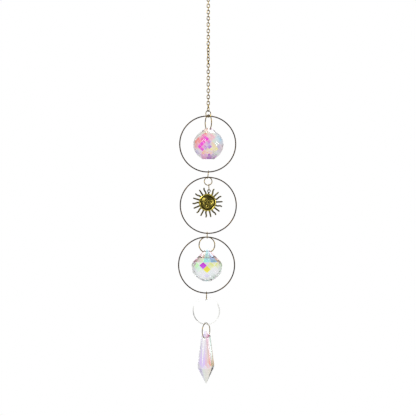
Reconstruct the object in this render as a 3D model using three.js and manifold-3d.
// A hanging crystal suncatcher: a cable chain, three wire hoops one below the other, and in them
// a faceted ball, a cast sun and a pear-topped drop. A clear disc and an icicle prism end the strand.
// Millimetres, +Z up, front towards -Y. The origin is where a hook touches the hanging ring inside.
import * as THREE from "three";
import { ConvexGeometry } from "three/addons/geometries/ConvexGeometry.js";
import { ConvexHull } from "three/addons/math/ConvexHull.js";
import { mergeVertices } from "three/addons/utils/BufferGeometryUtils.js";
import Module from "manifold-3d";

const wasm = await Module();
wasm.setup();

// ---------------------------------------------------------------- driving dimensions

const HANG_GAP = 0.08; // daylight where one piece hangs on another
const SAME_CORNER = 1e-3; // facets' corners closer than this are one
const EDGE_ON = 90; // turn about the vertical that shows a ring from its edge

// Rings and hoops: radius of the wire's centre line, radius of the wire.
const HANGER = { radius: 5.55, wire: 0.45 };
const HOOP = { radius: 19.575, wire: 0.425 };
const JUMP_RING = { radius: 2.3, wire: 0.3 };
const CONNECTOR_1 = { radius: 2.72, wire: 0.3 };
const CONNECTOR_2 = { radius: 2.17, wire: 0.3 };
const CONNECTOR_3 = { radius: 2.6, wire: 0.3 };
const SUN_RING = { radius: 2.7, wire: 0.3 };
const SUN_LINK_RING = { radius: 2.25, wire: 0.3 };
const BAIL = { radius: 5.5, wire: 0.35 }; // the large ring that goes through a crystal
const PRISM_BAIL = { radius: 5.45, wire: 0.3 };

// Chain.
const LINK = { length: 3.38, width: 2.3, wire: 0.275 };
const LINK_COUNT = 37;
const TWIST = { from: 14, to: 25, angle: 90 }; // the chain's lazy quarter turn half way down
const END_TURN = [15, 48]; // extra turn of the last two links, towards the ring below them

// Turns about the vertical, in degrees from facing the front.
const CHAIN_RING_TURN = 42;
const BALL_TURN = -66;
const PRISM_TURN = 61;
const DISC_TURN = -10;
const DISC_LEAN = 1.2; // its holes lie a little aside of each other
const CONNECTOR_1_LEAN = 7; // the first connector leans sideways

// Sideways drift of each piece from the chain's line.
const DRIFT = {
  hoop1: -0.4, ball: 0.05, connector1: -0.15, hoop2: 0, sunRing: -0.1, sunLink: 0.45,
  connector2: -0.8, hoop3: -1.2, roundDrop: -0.95, connector3: -1.25, disc: -1.4, prism: -1.58,
};
const INNER_OFFSET = 0.86; // a ring that shares a connector with a hoop lies this far behind it

// Faceted ball: even rows of small facets, left without its top rows so that it ends in a neck.
const BALL = { radius: 10.45, top: 11.85, bottom: 10.15, facets: 14, hole: 0.82, holeDepth: 1.5 };
const BALL_TILTS = [0, 12.9, 25.2, 36.5, 46.2, 54.0];

// Pear-topped drop: a ball with a pointed crown of long facets.
const DROP = { radius: 10.4, apex: 13.2, bottom: 10.05, facets: 12, hole: 0.95, topGlass: 2.02 };
const DROP_CROWN_TILT = 45;
const DROP_SHOULDER_TILT = 22.4;
const DROP_TILTS = [7, -8, -23, -37, -49, -58];
const DROP_FACETS_TURN = -14.8; // the facets of the drop against its hole

// Clear disc.
const DISC = { radius: 9.6, table: 9.05, thickness: 2.2, edge: 0.9, hole: 0.85, rim: 0.6 };
const DISC_FACETS = 28;

// Icicle prism: radii from the top down, at depths below its top.
const PRISM = {
  sides: 8, topRadius: 1.25, shoulder: [3.15, 3.5], girdle: [5.75, 23.4], widest: [5.95, 26.2],
  length: 37.45, topGlass: 5.2, hole: 0.85,
};

// Sun charm. A ray's root is sunk in the plate, and the neck joins the eyelet to it.
const SUN = {
  disc: 6.1, tip: 10.65, thickness: 1.1, rays: 18, turn: 7, rootWidth: 1.25, tipWidth: 0.95,
  wave: 0.32, sunk: 0.5, eyelet: 1.25, eyeletHole: 0.68, eyeletAt: 8.1,
  neck: { width: 1.5, height: 2, at: 6.5 }, rim: 0.45, rimInset: 0.55,
};

// The sun's face, its heights counted from the front of the plate: the dome from its middle
// outwards, then the features by their half-sizes across, up and forward, their middle, and a tilt.
const FACE_DOME = [[0, 1.4], [1.9, 1.2], [3.4, 0.75], [4.6, 0], [4.6, -0.4], [0, -0.4]];
const FACE_MIDDLE = [
  { size: [0.55, 1.35, 0.75], at: [0, -0.15, 1.2] }, // the bridge of the nose
  { size: [0.8, 0.5, 0.6], at: [0, -1.0, 1.35] }, // its tip
  { size: [1.15, 0.3, 0.45], at: [0, -2.0, 1.0] }, // the upper lip
  { size: [0.85, 0.32, 0.45], at: [0, -2.55, 0.9] }, // the lower lip
  { size: [0.95, 0.7, 0.5], at: [0, -3.55, 0.6] }, // the chin
];
const FACE_PAIRS = [
  { size: [1.45, 0.36, 0.5], at: [1.75, 1.6, 1.05], tilt: -9 }, // the brows
  { size: [0.85, 0.42, 0.45], at: [1.75, 0.5, 1.0], tilt: -4 }, // the lowered eyelids
  { size: [1.15, 1.0, 0.55], at: [2.2, -1.2, 0.75], tilt: 0 }, // the cheeks
];

// ---------------------------------------------------------------- helpers

const radians = THREE.MathUtils.degToRad;

// Turns a shape drawn in the XY plane upright, so that it faces the front.
const upright = (geometry) => geometry.rotateX(radians(90));

// A closed mesh as a manifold-3d solid, for a cut or a join.
function toSolid(geometry) {
  const bare = new THREE.BufferGeometry();
  bare.setAttribute("position", geometry.getAttribute("position").clone());
  if (geometry.index) bare.setIndex(geometry.index.clone());
  const merged = mergeVertices(bare, 1e-4);
  return new wasm.Manifold(new wasm.Mesh({
    numProp: 3,
    vertProperties: new Float32Array(merged.attributes.position.array),
    triVerts: new Uint32Array(merged.index.array),
  }));
}

function fromSolid(solid) {
  const { vertProperties, triVerts } = solid.getMesh();
  const geometry = new THREE.BufferGeometry();
  geometry.setAttribute("position", new THREE.BufferAttribute(vertProperties, 3));
  geometry.setIndex(new THREE.BufferAttribute(triVerts, 1));
  return geometry;
}

const join = (geometries) => fromSolid(
  geometries.map(toSolid).reduce((whole, next) => whole.add(next)));

const cut = (geometry, cutters) => fromSolid(
  cutters.map(toSolid).reduce((whole, next) => whole.subtract(next), toSolid(geometry)));

// A straight drill, its axis along Y, turned about the vertical and centred at x, z.
function drill(radius, length, x, z, turn = 0) {
  const bit = new THREE.CylinderGeometry(radius, radius, length, 12);
  bit.rotateZ(radians(turn));
  return bit.translate(x, 0, z);
}

// A cut stone: the solid left inside flat facets that go round it in rows.
// Each row gives its number of facets, how far they tilt up, their distance from the stone's
// middle, and its phase as a share of one facet.
function cutStone(rows) {
  const facets = rows.flatMap(({ count, tilt, distance, phase }) =>
    Array.from({ length: count }, (_, i) => new THREE.Vector3().setFromSphericalCoords(
      1 / distance, radians(90 - tilt), (2 * Math.PI * (i + phase)) / count)));
  const hull = new ConvexHull().setFromPoints(facets);
  const corners = [];
  for (const { normal, constant } of hull.faces) {
    const corner = normal.clone().divideScalar(constant);
    if (corners.every((other) => other.distanceTo(corner) > SAME_CORNER)) corners.push(corner);
  }
  return new ConvexGeometry(corners).rotateX(radians(90));
}

// Rows of equal facets, each row half a facet on from the one before it. From the third row on,
// each is cut just deep enough to meet the corners of the two before it, which makes kites.
function kiteRows(tilts, count, distance, start = 0) {
  const rows = [];
  tilts.forEach((tilt, k) => {
    const row = { count, tilt, distance, phase: start + (k % 2) / 2 };
    if (k > 1) {
      const corner = sharedCorner(rows[k - 2], rows[k - 1]);
      row.distance = corner.x * Math.cos(radians(tilt)) + corner.y * Math.sin(radians(tilt));
    }
    rows.push(row);
  });
  return rows;
}

// Where a facet of one row meets the two facets beside it in the next: distance out and height.
function sharedCorner(before, last) {
  const [a, b] = [Math.cos(radians(before.tilt)), Math.sin(radians(before.tilt))];
  const spread = Math.cos(Math.PI / last.count);
  const [c, d] = [Math.cos(radians(last.tilt)) * spread, Math.sin(radians(last.tilt))];
  const area = a * d - b * c;
  return new THREE.Vector2(
    (before.distance * d - last.distance * b) / area,
    (a * last.distance - c * before.distance) / area);
}

// One flat facet across the stone's top or bottom.
const table = (distance) => ({ count: 1, tilt: 90, distance, phase: 0 });
const culet = (distance) => ({ count: 1, tilt: -90, distance, phase: 0 });

// A row of corners around the vertical axis.
function cornerRow(count, radius, z, phase = 0) {
  return Array.from({ length: count }, (_, i) => {
    const angle = (2 * Math.PI * (i + phase)) / count;
    return new THREE.Vector3(radius * Math.cos(angle), radius * Math.sin(angle), z);
  });
}

// ---------------------------------------------------------------- wire pieces

// A round wire ring with a corner of its section towards the middle, where other wire bears on it.
function ringGeometry({ radius, wire }, steps) {
  return upright(new THREE.TorusGeometry(radius, wire, 6, steps));
}

// A chain link: a ring pulled out along the vertical until it has straight legs.
function linkGeometry() {
  const bend = LINK.width / 2 - LINK.wire;
  const steps = 10;
  const link = new THREE.TorusGeometry(bend, LINK.wire, 5, steps);
  link.rotateZ(Math.PI / steps);
  link.scale(1 / Math.cos(Math.PI / steps), 1, 1);
  const at = link.getAttribute("position");
  const pull = LINK.length / 2 - LINK.wire - bend;
  for (let i = 0; i < at.count; i += 1) {
    at.setY(i, at.getY(i) + pull * Math.sign(at.getY(i)));
  }
  return upright(link);
}

// Turn about the vertical of link number n, counted from the top.
function linkTurn(n) {
  const alternate = n % 2 === 1 ? EDGE_ON : 0;
  const share = THREE.MathUtils.smoothstep(n, TWIST.from, TWIST.to);
  const fromEnd = LINK_COUNT - n;
  const endTurn = fromEnd < END_TURN.length ? END_TURN[END_TURN.length - 1 - fromEnd] : 0;
  return alternate + TWIST.angle * share - endTurn;
}

// ---------------------------------------------------------------- crystals

// The ball's cut: rows of small kites up and down from its middle, a flat at the neck and below.
function ballGeometry() {
  const { radius, facets, top, bottom } = BALL;
  const upper = kiteRows(BALL_TILTS, facets, radius);
  const lower = upper.slice(1).map((row) => ({ ...row, tilt: -row.tilt }));
  return cutStone([table(top), ...upper, ...lower, culet(bottom)]);
}

// The drop's cut: long facets that run up to the apex, large kites round the widest place under
// the ridges between them, small shoulder facets beside those, and rows of kites below.
function dropGeometry() {
  const { radius, facets, apex, bottom } = DROP;
  const crown = { tilt: DROP_CROWN_TILT, distance: apex * Math.sin(radians(DROP_CROWN_TILT)) };
  const [belt, below] = DROP_TILTS;
  const shoulder = kiteRows([below, belt, DROP_SHOULDER_TILT], facets, radius, 0.5)[2];
  return cutStone([
    { ...crown, count: facets, phase: 0.5 }, shoulder,
    ...kiteRows(DROP_TILTS, facets, radius), culet(bottom),
  ]);
}

// A flat round disc with a bevel on both faces, standing upright, holes at its top and bottom.
function discGeometry() {
  const { radius, table, thickness, edge, hole, rim } = DISC;
  const profile = [
    [0, -thickness / 2], [table, -thickness / 2], [radius, -edge / 2],
    [radius, edge / 2], [table, thickness / 2], [0, thickness / 2],
  ].map(([r, y]) => new THREE.Vector2(r, y));
  const blank = new THREE.LatheGeometry(profile, DISC_FACETS);
  const at = radius - rim - hole;
  return cut(blank, [drill(hole, 2 * thickness, 0, at), drill(hole, 2 * thickness, 0, -at)]);
}

// An icicle: a slim eight-sided body that widens downwards, a zigzag girdle and a point.
function prismGeometry() {
  const { sides, topRadius, shoulder, girdle, widest, length } = PRISM;
  return new ConvexGeometry([
    ...cornerRow(sides, topRadius, 0, 0.5),
    ...cornerRow(sides, shoulder[0], -shoulder[1], 0.5),
    ...cornerRow(sides, girdle[0], -girdle[1], 0.5),
    ...cornerRow(sides, widest[0], -widest[1], 0),
    new THREE.Vector3(0, 0, -length),
  ]);
}

// ---------------------------------------------------------------- sun

// One ray, drawn upwards from the disc, straight or with an S wave, and rounded at its tip.
function rayGeometry(wave) {
  const steps = wave ? 4 : 1;
  const root = SUN.disc - SUN.sunk;
  const straight = SUN.tip - SUN.tipWidth / 2 - root;
  const left = [];
  const right = [];
  for (let i = 0; i <= steps; i += 1) {
    const share = i / steps;
    const middle = wave * Math.sin(2 * Math.PI * share);
    const half = THREE.MathUtils.lerp(SUN.rootWidth, SUN.tipWidth, share) / 2;
    left.push(new THREE.Vector2(middle - half, root + straight * share));
    right.unshift(new THREE.Vector2(middle + half, root + straight * share));
  }
  const tip = [120, 90, 60].map((angle) => new THREE.Vector2(
    (SUN.tipWidth / 2) * Math.cos(radians(angle)),
    root + straight + (SUN.tipWidth / 2) * Math.sin(radians(angle))));
  const outline = new THREE.Shape([...left, ...tip, ...right].reverse());
  return new THREE.ExtrudeGeometry(outline, { depth: SUN.thickness, bevelEnabled: false });
}

// One rounded feature of the face, on the right side of it (1) or mirrored to the left (-1).
function feature({ size, at: [x, y, z], tilt = 0 }, side = 1) {
  const form = new THREE.SphereGeometry(1, 7, 4).scale(...size).rotateZ(radians(side * tilt));
  return form.translate(side * x, y, SUN.thickness + z);
}

function sunGeometry() {
  const { disc, thickness, rays, turn, eyelet, eyeletHole, eyeletAt, neck } = SUN;
  const flat = (radius, depth, steps) =>
    new THREE.CylinderGeometry(radius, radius, depth, steps).rotateX(radians(90));
  const parts = [flat(disc, thickness, 24).translate(0, 0, thickness / 2)];
  for (let i = 1; i < rays; i += 1) {
    const ray = rayGeometry(i % 2 === 0 ? 0 : SUN.wave);
    parts.push(ray.rotateZ(radians(-(360 / rays) * i)));
  }
  parts.push(flat(eyelet, thickness, 12).translate(0, eyeletAt, thickness / 2));
  parts.push(new THREE.BoxGeometry(neck.width, neck.height, thickness)
    .translate(0, neck.at, thickness / 2));
  const bit = flat(eyeletHole, 4 * thickness, 12).translate(0, eyeletAt, 0);
  const silhouette = cut(join(parts), [bit]).rotateZ(radians(-turn));
  return upright(join([silhouette, ...faceGeometries()]));
}

// The raised rim and the face inside it.
function faceGeometries() {
  const { disc, thickness, rim, rimInset } = SUN;
  const profile = FACE_DOME.map(([r, z]) => new THREE.Vector2(r, z)).reverse();
  const dome = new THREE.LatheGeometry(profile, 12).rotateX(radians(90));
  return [
    new THREE.TorusGeometry(disc - rimInset, rim, 4, 24).translate(0, 0, thickness),
    dome.translate(0, 0, thickness),
    ...FACE_MIDDLE.map((form) => feature(form)),
    ...FACE_PAIRS.flatMap((form) => [feature(form), feature(form, -1)]),
  ];
}

// ---------------------------------------------------------------- levels of the strand

// Height of a wire's top centre line when it hangs over a crossing wire below it.
const over = (carrier, carrierWire, ownWire) => carrier + carrierWire + ownWire + HANG_GAP;

// How far from a hole's middle a ring's wire lies where it bears on the hole's two edges:
// the ring's line is askew to the hole's axis, and it curves away over the half thickness.
function seatInHole(ring, hole, halfThickness, askew) {
  const aside = halfThickness * Math.tan(radians(askew));
  const inner = ring.radius - ring.wire;
  const along = halfThickness / Math.cos(radians(askew));
  const curve = inner - Math.sqrt(inner ** 2 - along ** 2);
  return Math.sqrt((hole - ring.wire - HANG_GAP) ** 2 - aside ** 2) - curve;
}

// How far below a ring's centre a wire lies that crosses it at a sideways offset.
const reach = (ring, wire, offset) => Math.sqrt(
  (ring.radius - ring.wire - wire - HANG_GAP) ** 2 - offset ** 2);

// A connector sits between the wires that share it, so both lie a little off its middle.
const CONNECTOR_Y = INNER_OFFSET / 3;
const INNER_SHIFT = INNER_OFFSET - CONNECTOR_Y;

const hangerZ = HANGER.wire - HANGER.radius;
const linkHalf = LINK.length / 2 - LINK.wire;
const linkPitch = LINK.length - 4 * LINK.wire - HANG_GAP;
const firstLinkZ = over(hangerZ - HANGER.radius, HANGER.wire, LINK.wire) - linkHalf;
const lastLinkZ = firstLinkZ - linkPitch * (LINK_COUNT - 1);

const chainRingZ = over(lastLinkZ - linkHalf, LINK.wire, JUMP_RING.wire) - JUMP_RING.radius;
const hoop1Top = chainRingZ - reach(JUMP_RING, HOOP.wire, 0);
const hoop1Z = hoop1Top - HOOP.radius;
const ballRingZ = over(hoop1Top, HOOP.wire, BAIL.wire) - BAIL.radius;
const ballHoleZ = ballRingZ - BAIL.radius - BAIL.wire - HANG_GAP + BALL.hole;
const ballZ = ballHoleZ - (BALL.top - BALL.holeDepth);

const connector1Z = hoop1Z - HOOP.radius - reach(CONNECTOR_1, HOOP.wire, CONNECTOR_Y);
const hoop2Z = connector1Z - reach(CONNECTOR_1, HOOP.wire, CONNECTOR_Y) - HOOP.radius;
const sunRingZ = connector1Z - reach(CONNECTOR_1, SUN_RING.wire, INNER_SHIFT) - SUN_RING.radius;
const sunLinkTop = over(sunRingZ - SUN_RING.radius, SUN_RING.wire, SUN_LINK_RING.wire);
const sunLinkZ = sunLinkTop - SUN_LINK_RING.radius;
const eyeletSeat = seatInHole(SUN_LINK_RING, SUN.eyeletHole, SUN.thickness / 2, 0);
const eyeletZ = sunLinkZ - SUN_LINK_RING.radius - eyeletSeat;
const sunZ = eyeletZ - SUN.eyeletAt * Math.cos(radians(SUN.turn));

const connector2Z = hoop2Z - HOOP.radius - reach(CONNECTOR_2, HOOP.wire, CONNECTOR_Y);
const hoop3Z = connector2Z - reach(CONNECTOR_2, HOOP.wire, CONNECTOR_Y) - HOOP.radius;
const dropRingZ = connector2Z - reach(CONNECTOR_2, BAIL.wire, INNER_SHIFT) - BAIL.radius;
const dropHoleZ = dropRingZ - BAIL.radius - BAIL.wire - HANG_GAP + DROP.hole;
const dropZ = dropHoleZ + DROP.topGlass + DROP.hole - DROP.apex;

const connector3Z = hoop3Z - HOOP.radius - reach(CONNECTOR_3, HOOP.wire, 0);
const discHole = DISC.radius - DISC.rim - DISC.hole;
const discHalf = DISC.thickness / 2;
const discSeat = seatInHole(CONNECTOR_3, DISC.hole, discHalf, DISC_TURN);
const discZ = connector3Z - CONNECTOR_3.radius - discSeat - discHole;
const prismSeat = seatInHole(PRISM_BAIL, DISC.hole, discHalf, EDGE_ON + DISC_TURN - PRISM_TURN);
const prismRingZ = discZ - discHole - prismSeat - PRISM_BAIL.radius;
const prismHoleZ = prismRingZ - PRISM_BAIL.radius - PRISM_BAIL.wire - HANG_GAP + PRISM.hole;
const prismTopZ = prismHoleZ + PRISM.topGlass;

// ---------------------------------------------------------------- finishes

const FINISH = {
  hoop: { color: 0x8a7440, roughness: 0.32, metalness: 1 },
  chain: { color: 0xb9a468, roughness: 0.3, metalness: 1 },
  sun: { color: 0x9c8a3e, roughness: 0.35, metalness: 1 },
  crystal: { color: 0xf0d2ee, roughness: 0.02, metalness: 0, transparent: true, opacity: 0.45 },
  clear: { color: 0xf8fafa, roughness: 0.02, metalness: 0, transparent: true, opacity: 0.35 },
};

const MATERIALS = Object.fromEntries(Object.entries(FINISH).map(([slot, finish]) => [
  slot, new THREE.MeshStandardMaterial({ ...finish, flatShading: true }),
]));

// ---------------------------------------------------------------- assembly

const suncatcher = new THREE.Group();

// Adds one piece: its name, shape and finish, its place and its turn about the vertical.
function place(name, geometry, slot, [x, y, z], turn = 0, lean = 0) {
  const mesh = new THREE.Mesh(geometry, MATERIALS[slot]);
  mesh.name = name;
  mesh.position.set(x, y, z);
  mesh.rotation.set(0, radians(lean), radians(turn));
  suncatcher.add(mesh);
}

function placeRing(name, ring, at, turn = 0, { steps = 12, slot = "chain", lean = 0 } = {}) {
  place(name, ringGeometry(ring, steps), slot, at, turn, lean);
}

function addChain() {
  placeRing("hanging_ring", HANGER, [0, 0, hangerZ], 0, { steps: 20 });
  for (let n = 1; n <= LINK_COUNT; n += 1) {
    const name = `chain_link_${String(n).padStart(2, "0")}`;
    place(name, linkGeometry(), "chain", [0, 0, firstLinkZ - linkPitch * (n - 1)], linkTurn(n));
  }
  placeRing("chain_ring", JUMP_RING, [0, 0, chainRingZ], CHAIN_RING_TURN);
}

function addHoops() {
  const style = { steps: 36, slot: "hoop" };
  placeRing("hoop_1", HOOP, [DRIFT.hoop1, 0, hoop1Z], 0, style);
  placeRing("hoop_2", HOOP, [DRIFT.hoop2, 0, hoop2Z], 0, style);
  placeRing("hoop_3", HOOP, [DRIFT.hoop3, 0, hoop3Z], 0, style);
  const lean = CONNECTOR_1_LEAN;
  placeRing("connector_1", CONNECTOR_1, [DRIFT.connector1, CONNECTOR_Y, connector1Z], EDGE_ON,
    { lean });
  placeRing("connector_2", CONNECTOR_2, [DRIFT.connector2, CONNECTOR_Y, connector2Z], EDGE_ON);
  placeRing("connector_3", CONNECTOR_3, [DRIFT.connector3, 0, connector3Z], EDGE_ON);
}

function addBall() {
  placeRing("ball_ring", BAIL, [DRIFT.ball, 0, ballRingZ], BALL_TURN, { steps: 20 });
  const hole = drill(BALL.hole, 3 * BALL.radius, 0, BALL.top - BALL.holeDepth, 90);
  const ball = cut(ballGeometry(), [hole]);
  place("crystal_ball", ball, "crystal", [DRIFT.ball, 0, ballZ], BALL_TURN);
}

function addSun() {
  placeRing("sun_ring", SUN_RING, [DRIFT.sunRing, INNER_OFFSET, sunRingZ]);
  placeRing("sun_link_ring", SUN_LINK_RING, [DRIFT.sunLink, INNER_OFFSET, sunLinkZ], EDGE_ON);
  const sunX = DRIFT.sunLink - SUN.eyeletAt * Math.sin(radians(SUN.turn));
  const sunY = INNER_OFFSET + SUN.thickness / 2;
  place("sun_charm", sunGeometry(), "sun", [sunX, sunY, sunZ]);
}

function addRoundDrop() {
  placeRing("drop_ring", BAIL, [DRIFT.roundDrop, INNER_OFFSET, dropRingZ], 0, { steps: 20 });
  const hole = drill(DROP.hole, 3 * DROP.radius, 0, dropHoleZ - dropZ, 90);
  const drop = cut(dropGeometry().rotateZ(radians(DROP_FACETS_TURN)), [hole]);
  place("crystal_round_drop", drop, "crystal", [DRIFT.roundDrop, INNER_OFFSET, dropZ]);
}

function addDiscAndPrism() {
  place("crystal_disc", discGeometry(), "clear", [DRIFT.disc, 0, discZ], DISC_TURN,
    DISC_LEAN);
  const ringX = DRIFT.prism;
  placeRing("prism_ring", PRISM_BAIL, [ringX, 0, prismRingZ], PRISM_TURN, { steps: 20 });
  const hole = drill(PRISM.hole, 4 * PRISM.widest[0], 0, -PRISM.topGlass, 90);
  const prism = cut(prismGeometry(), [hole]);
  place("crystal_prism", prism, "crystal", [ringX, 0, prismTopZ], PRISM_TURN);
}

addChain();
addHoops();
addBall();
addSun();
addRoundDrop();
addDiscAndPrism();

export default suncatcher;
